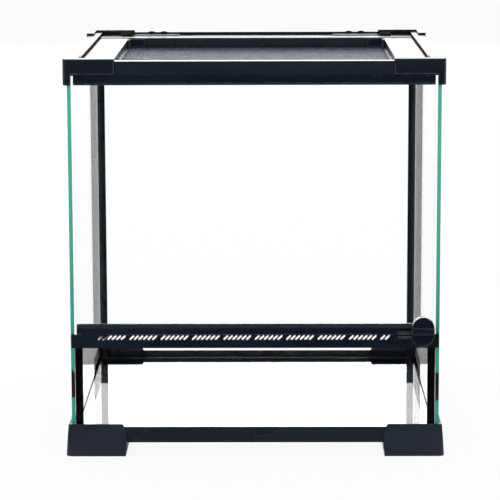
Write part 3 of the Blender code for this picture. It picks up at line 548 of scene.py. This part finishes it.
@dataclass(frozen=True)
class CoatedWire:
    """Dark coated wire of the lid's screen."""

    name: str = "coated_wire"
    colour: Colour = (0.050, 0.064, 0.088)
    metal: float = 0.55
    patch_scale: float = 18.0
    patch: Span = (0.35, 0.7)
    patch_tint: float = 1.35
    grain_scale: float = 700.0
    grain: Span = (0.3, 0.7)
    roughness: float = 0.26
    smoother: float = 0.08
    rougher: float = 0.12

    def build(self) -> Material:
        """Make the material.

        Returns:
            The material.
        """
        material, tree, shader = new_material(self.name)
        patch = tree.ramp(tree.noise(self.patch_scale, detail=3.0), self.patch)
        colour = tree.mix(patch, self.colour, tinted(self.colour, self.patch_tint))
        tree.wire(colour, shader.inputs["Base Color"])
        limits = (self.roughness - self.smoother, self.roughness + self.rougher)
        spread = tree.ramp(tree.noise(self.grain_scale, detail=2.0), self.grain, limits)
        tree.wire(spread, shader.inputs["Roughness"])
        shader.inputs["Metallic"].default_value = self.metal
        return material


@dataclass(frozen=True)
class TurnedSteel:
    """Bright turned pin."""

    name: str = "turned_steel"
    colour: Colour = (0.62, 0.62, 0.64)
    ring_scale: float = 500.0
    ring_stretch: Point = (0.1, 0.1, 6.0)
    ring_tint: float = 0.75
    ring_patch: Span = (0.3, 0.7)
    gloss: Span = (0.22, 0.4)

    def build(self) -> Material:
        """Make the material.

        Returns:
            The material.
        """
        material, tree, shader = new_material(self.name)
        rings = tree.noise(self.ring_scale, detail=2.0, stretch=self.ring_stretch)
        colour = tree.mix(rings, tinted(self.colour, self.ring_tint), self.colour)
        tree.wire(colour, shader.inputs["Base Color"])
        tree.wire(tree.ramp(rings, self.ring_patch, self.gloss), shader.inputs["Roughness"])
        shader.inputs["Metallic"].default_value = 1.0
        return material


class Finish(Enum):
    """The finishes that pieces share."""

    GLOSS = MouldedPlastic("gloss_black_plastic", (0.0055, 0.0110, 0.0190))
    LIPPED = MouldedPlastic(
        "lipped_black_plastic", (0.0050, 0.0100, 0.0175), gleam=0.15, wall_matt=0.7
    )
    # lighter copy of the black plastic for the front top rail: the raised colour is painted light
    BROW = MouldedPlastic("brow_black_plastic", (0.0085, 0.0150, 0.0245))
    WALL = MouldedPlastic("wall_black_plastic", (0.0150, 0.0225, 0.0300))
    # shaded copy of the black plastic: the darker colour is painted shade on the low front strips
    # and base rails, with a lower gleam
    STRIP = MouldedPlastic("strip_black_plastic", (0.0050, 0.0100, 0.0175), gleam=0.2)
    # lighter copy of the black plastic for the front base rail: the raised colour is painted light
    SKIRT = MouldedPlastic("skirt_black_plastic", (0.0065, 0.0125, 0.0210), gleam=0.3)
    # the wide pale edge colour here is a painted highlight on the rims of the caps and clips
    SATIN = MouldedPlastic(
        "satin_black_plastic", (0.0058, 0.0112, 0.0190), roughness=0.36, gleam=0.3,
        grain_scale=700.0, grain_depth=0.00004,
        wear_and_highlight=0.9, wear_and_highlight_reach=0.0022, wear_and_highlight_colour=(0.12, 0.14, 0.17),
    )
    # lighter copy of the black plastic: the raised colour of the feet is painted light, and their
    # edge colour a painted highlight
    FOOT = MouldedPlastic(
        "foot_black_plastic", (0.0105, 0.0190, 0.0310), roughness=0.36,
        grain_scale=700.0, grain_depth=0.00004, wear_and_highlight=0.5, wear_and_highlight_colour=(0.10, 0.11, 0.13),
    )
    # the pale edge colour here is a painted highlight on the lock's ridges
    LOCK = MouldedPlastic(
        "lock_black_plastic", (0.0040, 0.0082, 0.0145), roughness=0.22, gleam=0.3,
        grain_depth=0.00001, wear_and_highlight=1.0, wear_and_highlight_colour=(0.32, 0.35, 0.40),
    )
    RUBBER = MouldedPlastic(
        "matt_black_rubber", (0.008, 0.009, 0.011), roughness=0.65, gleam=0.15,
        grain_scale=500.0, grain_depth=0.00003,
    )
    SILICONE = TooledSilicone("tooled_silicone", (0.0062, 0.0105, 0.0150), gleam=0.2)
    SHADED_SILICONE = TooledSilicone("shaded_silicone", (0.0015, 0.0020, 0.0026), gleam=0.1)
    SEAMED = SeamedEdge()
    WIRE = CoatedWire()
    STEEL = TurnedSteel()


Groups = Sequence[Tuple[Finish, Sequence[str]]]
Made = Dict[Finish, Material]


# Making and dressing pieces

def dress(node: str, material: Material) -> None:
    """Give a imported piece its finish.

    Args:
        node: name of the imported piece.
        material: its finish.
    """
    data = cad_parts[node].data
    data.materials.clear()
    data.materials.append(material)


def dress_groups(groups: Groups, made: Made) -> List[str]:
    """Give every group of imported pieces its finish.

    Args:
        groups: each finish with its pieces.
        made: material of each finish.

    Returns:
        The names of the pieces.
    """
    for finish, nodes in groups:
        for node in nodes:
            dress(node, made[finish])
    return [node for _, nodes in groups for node in nodes]


def new_piece(name: str, bm: bmesh.types.BMesh, material: Material) -> bpy.types.Object:
    """Turn a finished mesh into an object of the scene.

    Args:
        name: name of the object.
        bm: its mesh, freed here.
        material: its finish.

    Returns:
        The new object.
    """
    mesh = bpy.data.meshes.new(name)
    bm.to_mesh(mesh)
    bm.free()
    mesh.materials.append(material)
    piece = bpy.data.objects.new(name, mesh)
    bpy.context.scene.collection.objects.link(piece)
    return piece


@dataclass
class CutEdge:
    """Thin skin on one cut edge of a pane, with eased long sides.

    It spans low to high and faces along the axis normal, with facing -1 or 1.
    """

    name: str
    low: Vector
    high: Vector
    normal: Axis
    facing: int
    body: str
    seat: float = 0.00002
    proud: float = 0.00010
    ease: float = 0.0002

    def ring(self, bm: bmesh.types.BMesh, level: float) -> List[bmesh.types.BMVert]:
        """Add the four corners of the skin at one height.

        Args:
            bm: mesh being built.
            level: height of the corners.

        Returns:
            The corners, in order.
        """
        across = Axis.X if self.normal is Axis.Y else Axis.Y
        corners = []
        for share, height, inset in (
            (0.0, self.seat, self.ease / 2.0), (1.0, self.seat, self.ease / 2.0),
            (1.0, self.proud, self.ease), (0.0, self.proud, self.ease),
        ):
            point = [0.0, 0.0, level]
            span = self.high[across.value] - self.low[across.value] - 2.0 * inset
            point[across.value] = self.low[across.value] + inset + share * span
            point[self.normal.value] = self.low[self.normal.value] + self.facing * height
            corners.append(bm.verts.new(point))
        return corners

    def lay(self, material: Material) -> str:
        """Build the skin.

        Args:
            material: its finish.

        Returns:
            The name of the piece.
        """
        bm = bmesh.new()
        foot = self.ring(bm, self.low.z + self.ease)
        head = self.ring(bm, self.high.z - self.ease)
        for index in range(len(foot)):
            following = (index + 1) % len(foot)
            bm.faces.new((foot[index], foot[following], head[following], head[index]))
        bm.faces.new(foot[::-1])
        bm.faces.new(head)
        bmesh.ops.recalc_face_normals(bm, faces=bm.faces)
        skin = new_piece(self.name, bm, material)
        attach(skin, self.body)
        return skin.name


@dataclass
class Tank:
    """Panes, silicone, base frame, feet, top frame and vent strip."""

    side_panes: Sequence[str] = ("glass_left", "glass_right")
    cross_panes: Sequence[str] = ("glass_back", "glass_front_lower")
    floor_pane: str = "glass_floor"
    floor_index: float = 1.4
    groups: Groups = (
        (Finish.SILICONE, ("silicone_rear_left", "silicone_rear_right")),
        (Finish.SHADED_SILICONE, ("silicone_front_left", "silicone_front_right")),
        (Finish.BROW, ("top_rail_front",)),
        (Finish.LIPPED, ("top_rail_left", "top_rail_right")),
        (Finish.GLOSS, ("rear_strip", "cable_closer_left", "cable_closer_right")),
        (Finish.STRIP, ("vent_strip", "base_rail_rear", "base_rail_left", "base_rail_right")),
        (Finish.SKIRT, ("base_rail_front",)),
        (Finish.RUBBER, ("frame_button_left", "frame_button_right")),
        (Finish.SATIN, ("cap_front_left", "cap_front_right", "cap_rear_left", "cap_rear_right")),
        (Finish.FOOT, ("foot_front_left", "foot_front_right", "foot_rear_left", "foot_rear_right")),
    )

    def build(self, made: Made) -> List[str]:
        """Finish every fixed piece and seam the side panes.

        Args:
            made: material of each finish.

        Returns:
            The names of the pieces.
        """
        names = dress_groups(self.groups, made)
        for node in self.side_panes:
            dress(node, FloatGlass(node + "_clear", Axis.X).build())
        for node in self.cross_panes:
            dress(node, FloatGlass(node + "_clear", Axis.Y).build())
        floor_glass = FloatGlass(self.floor_pane + "_clear", Axis.Z, self.floor_index)
        dress(self.floor_pane, floor_glass.build())
        names += [*self.side_panes, *self.cross_panes, self.floor_pane]
        return names + self.seam_edges(made[Finish.SEAMED])

    def seam_edges(self, seamed: Material) -> List[str]:
        """Show the green cut edges of the side panes, front and rear.

        Args:
            seamed: finish of a cut edge.

        Returns:
            The names of the skins.
        """
        names = []
        for node in self.side_panes:
            low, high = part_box(node)
            front = Vector((high.x, low.y, high.z))
            rear = Vector((low.x, high.y, low.z))
            names.append(CutEdge(node + "_front_edge", low, front, Axis.Y, -1, "tank").lay(seamed))
            names.append(CutEdge(node + "_rear_edge", rear, high, Axis.Y, 1, "tank").lay(seamed))
        return names


@dataclass
class Lid:
    """Lift-out lid with its screen of crossing wires."""

    rear_rail: str = "lid_rail_rear"
    groups: Groups = (
        (Finish.GLOSS, ("lid_rail_front", "lid_rail_left", "lid_rail_right")),
        (Finish.WALL, ("lid_rail_rear",)),
        (Finish.SATIN, ("lid_clip_front_left", "lid_clip_front_right")),
        (Finish.SATIN, ("lid_clip_rear_left", "lid_clip_rear_right")),
    )
    pitch: float = 0.0022
    wire_width: float = 0.00062
    wire_height: float = 0.00026
    wire_round: float = 0.00007
    layer_rise: float = 0.45
    hem: float = 0.0026
    grip: float = 0.0001

    def build(self, made: Made) -> List[str]:
        """Finish the rails and clips, and build the screen.

        Args:
            made: material of each finish.

        Returns:
            The names of the pieces.
        """
        names = dress_groups(self.groups, made)
        screen = self.weave(made[Finish.WIRE])
        bead = self.hold_screen(made[Finish.GLOSS])
        return names + [screen.name, bead.name]

    def weave(self, metal: Material) -> bpy.types.Object:
        """Build the screen from crossing wires, whose ends the bead holds.

        Args:
            metal: finish of the wire.

        Returns:
            The screen, riding on the lid.
        """
        low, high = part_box("mesh_screen")
        middle = (low + high) / 2.0
        size = high - low
        bm = bmesh.new()
        for axis, side in ((Axis.X, -1.0), (Axis.Y, 1.0)):
            half = size[1 - axis.value] / 2.0 - self.hem / 2.0
            level = middle.z + side * self.layer_rise * self.wire_height
            count = int((size[axis.value] - 2.0 * self.hem) / self.pitch)
            for index in range(count + 1):
                offset = (index - count / 2.0) * self.pitch
                self.add_wire(bm, axis, Vector((middle.x, middle.y, level)), offset, half)
        screen = new_piece("woven_screen", bm, metal)
        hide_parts("mesh_screen")
        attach(screen, "lid")
        return screen

    def add_wire(
        self, bm: bmesh.types.BMesh, axis: Axis, middle: Vector, offset: float, half: float
    ) -> None:
        """Add one straight wire, rolled flat with rounded edges.

        Args:
            bm: mesh being built.
            axis: direction that the wires of this layer are spread along.
            middle: centre of the layer.
            offset: distance from the centre.
            half: half the wire's length.
        """
        wide, tall, ease = self.wire_width / 2.0, self.wire_height / 2.0, self.wire_round
        section = (
            (wide, -tall + ease), (wide, tall - ease),
            (wide - ease, tall), (-wide + ease, tall),
            (-wide, tall - ease), (-wide, -tall + ease),
            (-wide + ease, -tall), (wide - ease, -tall),
        )
        rings = []
        for end in (-half, half):
            ring = []
            for side, height in section:
                x, y = (offset + side, end) if axis is Axis.X else (end, offset + side)
                ring.append(bm.verts.new(middle + Vector((x, y, height))))
            rings.append(ring)
        turn = 1 if axis is Axis.X else -1
        for index in range(len(section)):
            following = (index + 1) % len(section)
            corners = [rings[0][index], rings[0][following], rings[1][following], rings[1][index]]
            bm.faces.new(corners[::turn])
        bm.faces.new(rings[0][::-turn])
        bm.faces.new(rings[1][::turn])

    def hold_screen(self, plastic: Material) -> bpy.types.Object:
        """Build the flat black bead that holds the wires' ends and is gripped by the rails.

        Args:
            plastic: finish of the bead.

        Returns:
            The bead, riding on the lid.
        """
        low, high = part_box("mesh_screen")
        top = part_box(self.rear_rail)[0].z + self.grip
        inner_low, inner_high = low.y + self.hem, high.y - self.hem
        bm = bmesh.new()
        for x0, y0, x1, y1 in (
            (low.x, low.y, high.x, inner_low),
            (low.x, inner_high, high.x, high.y),
            (low.x, inner_low, low.x + self.hem, inner_high),
            (high.x - self.hem, inner_low, high.x, inner_high),
        ):
            centre = Vector(((x0 + x1) / 2.0, (y0 + y1) / 2.0, (low.z + top) / 2.0))
            scale = Matrix.Diagonal((x1 - x0, y1 - y0, top - low.z, 1.0))
            bmesh.ops.create_cube(bm, size=1.0, matrix=Matrix.Translation(centre) @ scale)
        bead = new_piece("screen_bead", bm, plastic)
        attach(bead, "lid")
        return bead


@dataclass
class Door:
    """Glass door with its profiles, pins and lock."""

    pane: str = "glass_door"
    groups: Groups = (
        (Finish.STRIP, ("door_profile_bottom", "door_profile_top")),
        (Finish.STEEL, ("hinge_pin_bottom", "hinge_pin_top")),
        (Finish.LOCK, ("lock_plate", "lock_knob", "lock_cam")),
    )
    notch: float = 0.0043

    def build(self, made: Made) -> List[str]:
        """Finish the door's pieces and seam its pane.

        Args:
            made: material of each finish.

        Returns:
            The names of the pieces.
        """
        names = dress_groups(self.groups, made)
        dress(self.pane, FloatGlass(self.pane + "_clear", Axis.Y).build())
        return names + [self.pane] + self.seam_edges(made[Finish.SEAMED])

    def seam_edges(self, seamed: Material) -> List[str]:
        """Show the green upright edges of the door pane between its profiles.

        Args:
            seamed: finish of a cut edge.

        Returns:
            The names of the skins.
        """
        low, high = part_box(self.pane)
        names = []
        for name, x, facing in (
            ("glass_door_hinge_edge", low.x, -1), ("glass_door_lock_edge", high.x, 1),
        ):
            foot = Vector((x, low.y, low.z + self.notch))
            head = Vector((x, high.y, high.z - self.notch))
            names.append(CutEdge(name, foot, head, Axis.X, facing, "door").lay(seamed))
        return names


# Studio

@dataclass(frozen=True)
class Softbox:
    """A broad lamp that the camera doesn't see."""

    name: str
    place: Point
    target: Point
    size: Span
    power: float

    def hang(self) -> None:
        """Add the lamp to the scene."""
        data = bpy.data.lights.new(self.name, "AREA")
        data.shape = "RECTANGLE"
        data.size, data.size_y = self.size
        data.energy = self.power
        lamp = bpy.data.objects.new(self.name, data)
        bpy.context.scene.collection.objects.link(lamp)
        lamp.location = self.place
        aim = Vector(self.target) - Vector(self.place)
        lamp.rotation_euler = aim.to_track_quat("-Z", "Y").to_euler()
        lamp.visible_camera = False


@dataclass
class Studio:
    """White paper and surround under softboxes, dark in front where gloss mirrors it."""

    floor_size: float = 30.0
    floor_drop: float = 0.0003
    floor_roughness: float = 0.9
    paper: Colour = (0.9, 0.9, 0.9)
    shade: Colour = (0.04, 0.04, 0.04)
    paper_reach: Span = (-0.42, 0.15)
    paper_glow: float = 0.92
    surround: float = 0.62
    room: float = 0.05
    room_reach: Span = (-0.2, 0.45)
    mirror_depth: float = 0.5
    lamps: Sequence[Softbox] = (
        Softbox("overhead_softbox", (0.0, 0.2, 1.9), (0.0, 0.0, 0.2), (2.0, 2.0), 12.0),
        Softbox("rear_softbox", (0.0, 3.6, 1.35), (0.0, 0.0, 0.3), (6.0, 2.4), 125.0),
        Softbox("front_fill", (-1.3, -2.0, 1.2), (0.0, 0.0, 0.15), (1.2, 1.2), 6.0),
    )

    def build(self) -> None:
        """Build the floor, the surround and the lamps."""
        self.build_floor()
        self.build_world()
        for lamp in self.lamps:
            lamp.hang()

    def build_floor(self) -> None:
        """Make the pale floor, which shows white and keeps soft shadows."""
        material, tree, shader = new_material("white_floor")
        shader.inputs["Roughness"].default_value = self.floor_roughness
        paper = tree.ramp(tree.split("ShaderNodeNewGeometry", "Position")["Y"], self.paper_reach)
        seen, mirrored = self.ray_kinds(tree)
        dark = tree.math("MULTIPLY", tree.math("SUBTRACT", 1.0, paper), mirrored)
        tree.wire(tree.mix(dark, self.paper, self.shade), shader.inputs["Base Color"])
        glow = tree.add("ShaderNodeEmission")
        glow.inputs["Strength"].default_value = 1.0
        bright = tree.math("MAXIMUM", seen, tree.math("MULTIPLY", mirrored, paper))
        blend = tree.add("ShaderNodeMixShader")
        tree.wire(tree.math("MULTIPLY", bright, self.paper_glow), blend.inputs["Fac"])
        tree.wire(shader.outputs["BSDF"], blend.inputs[1])
        tree.wire(glow.outputs["Emission"], blend.inputs[2])
        output = material.node_tree.nodes["Material Output"]
        tree.wire(blend.outputs["Shader"], output.inputs["Surface"])
        bm = bmesh.new()
        bmesh.ops.create_grid(bm, x_segments=1, y_segments=1, size=self.floor_size / 2.0)
        floor = new_piece("studio_floor", bm, material)
        floor.location.z = -self.floor_drop

    def build_world(self) -> None:
        """Make the surround: white to look at, softer as a light, dark in front when mirrored."""
        world = bpy.data.worlds.new("white_surround")
        bpy.context.scene.world = world
        world.use_nodes = True
        tree = Tree(world.node_tree)
        ground = world.node_tree.nodes["Background"]
        ground.inputs["Color"].default_value = (1.0, 1.0, 1.0, 1.0)
        seen, mirrored = self.ray_kinds(tree)
        back = tree.split("ShaderNodeTexCoord", "Generated")["Y"]
        around = tree.ramp(back, self.room_reach, (self.room, 1.0))
        glossy = tree.math("MULTIPLY", mirrored, around)
        lit = tree.math("MULTIPLY", tree.math("SUBTRACT", 1.0, mirrored), self.surround)
        level = tree.math("MAXIMUM", seen, tree.math("ADD", glossy, lit))
        tree.wire(level, ground.inputs["Strength"])

    def ray_kinds(self, tree: Tree) -> Tuple[object, object]:
        """Tell rays that look straight or through glass from mirrored ones.

        Args:
            tree: writer of the material or world.

        Returns:
            Two sockets: 1 for rays that are seen, 1 for mirrored rays.
        """
        path = tree.add("ShaderNodeLightPath").outputs
        mirrored = tree.math("GREATER_THAN", path["Glossy Depth"], self.mirror_depth)
        clear = tree.math("ADD", path["Is Camera Ray"], path["Is Transmission Ray"], clamp=True)
        seen = tree.math("MULTIPLY", clear, tree.math("SUBTRACT", 1.0, mirrored))
        return seen, mirrored


@dataclass(frozen=True)
class PhotoCamera:
    """The fitted viewpoint, with its angles in radians."""

    focal_px: float = 2400.067
    picture_px: float = 500.0
    sensor_mm: float = 36.0
    reach: float = 100.0
    place: Point = (0.0128755, -2.0580901, 0.4941728)
    yaw: float = 0.00871064
    pitch: float = 0.16756038
    roll: float = -0.00301886

    def build(self) -> None:
        """Make the camera and use it."""
        data = bpy.data.cameras.new("photo_camera")
        data.sensor_fit = "HORIZONTAL"
        data.sensor_width = self.sensor_mm
        data.lens = self.focal_px / self.picture_px * self.sensor_mm
        data.clip_end = self.reach
        camera = bpy.data.objects.new("photo_camera", data)
        bpy.context.scene.collection.objects.link(camera)
        forward = Vector((
            -math.sin(self.yaw) * math.cos(self.pitch),
            math.cos(self.yaw) * math.cos(self.pitch),
            -math.sin(self.pitch),
        ))
        right = Vector((math.cos(self.yaw), math.sin(self.yaw), 0.0))
        up = right.cross(forward)
        level, tilt = math.cos(self.roll), math.sin(self.roll)
        side = level * right + tilt * up
        top = level * up - tilt * right
        basis = Matrix((side, top, -forward)).transposed().to_4x4()
        camera.matrix_world = Matrix.Translation(self.place) @ basis
        bpy.context.scene.camera = camera


def main() -> None:
    """Build the finishes, each sub-assembly, the studio and the camera, and report each piece."""
    logging.basicConfig(level=logging.INFO, format="%(name)s: %(message)s")
    GROUPS.build()
    made = {finish: finish.value.build() for finish in Finish}
    for assembly in (Tank(), Lid(), Door()):
        for name in assembly.build(made):
            LOG.info("%s: %s finished", type(assembly).__name__.lower(), name)
    Studio().build()
    PhotoCamera().build()
    bpy.context.scene.view_settings.view_transform = "Standard"
    LOG.info("studio and camera set")


if __name__ == "__main__":
    main()
